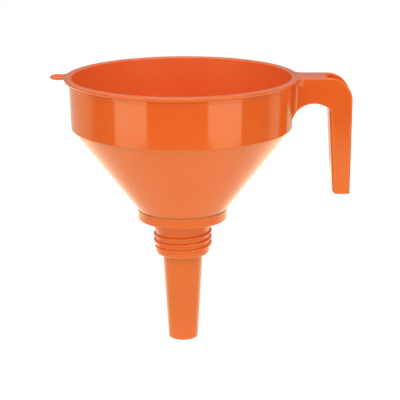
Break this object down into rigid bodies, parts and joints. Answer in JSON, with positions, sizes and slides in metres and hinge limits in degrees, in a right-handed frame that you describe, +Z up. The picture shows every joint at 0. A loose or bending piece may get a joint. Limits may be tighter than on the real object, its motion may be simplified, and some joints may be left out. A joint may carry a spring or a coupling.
{
  "type": "funnel with strainer",
  "caption": "Hand-held plastic filling funnel with a wide banded bowl, side handle, hanging eye, threaded neck, slim tapered spout and lift-out gauze strainer.",
  "frame": {"origin": "on the funnel's axis, in the plane of the collar's underside, which rests on the mouth of a container", "axes": "+Z up along the funnel's axis, from the spout to the rim; +X from the axis towards the handle; the hanging eye is on the -X side"},
  "size_m": [0.2058, 0.16, 0.1895],
  "materials": {
    "funnel_plastic": "glossy injection-moulded orange polyethylene",
    "strainer_brass": "pressed brass sheet and wire, lightly polished",
    "gauze_brass": "woven brass wire cloth"
  },
  "bodies": {
    "funnel": {"rim_band": "funnel_plastic", "cone": "funnel_plastic", "collar": "funnel_plastic", "threaded_neck": "funnel_plastic", "spout": "funnel_plastic", "handle": "funnel_plastic", "hanging_eye": "funnel_plastic"},
    "strainer": {"strainer_ring": "strainer_brass", "strainer_gauze": "gauze_brass", "strainer_lift_loop": "strainer_brass"}
  },
  "joints": [
    {"name": "strainer_lift", "type": "slide", "parent": "funnel", "child": "strainer", "axis": [0, 0, 1], "range_m": [0, 0.12]}
  ]
}
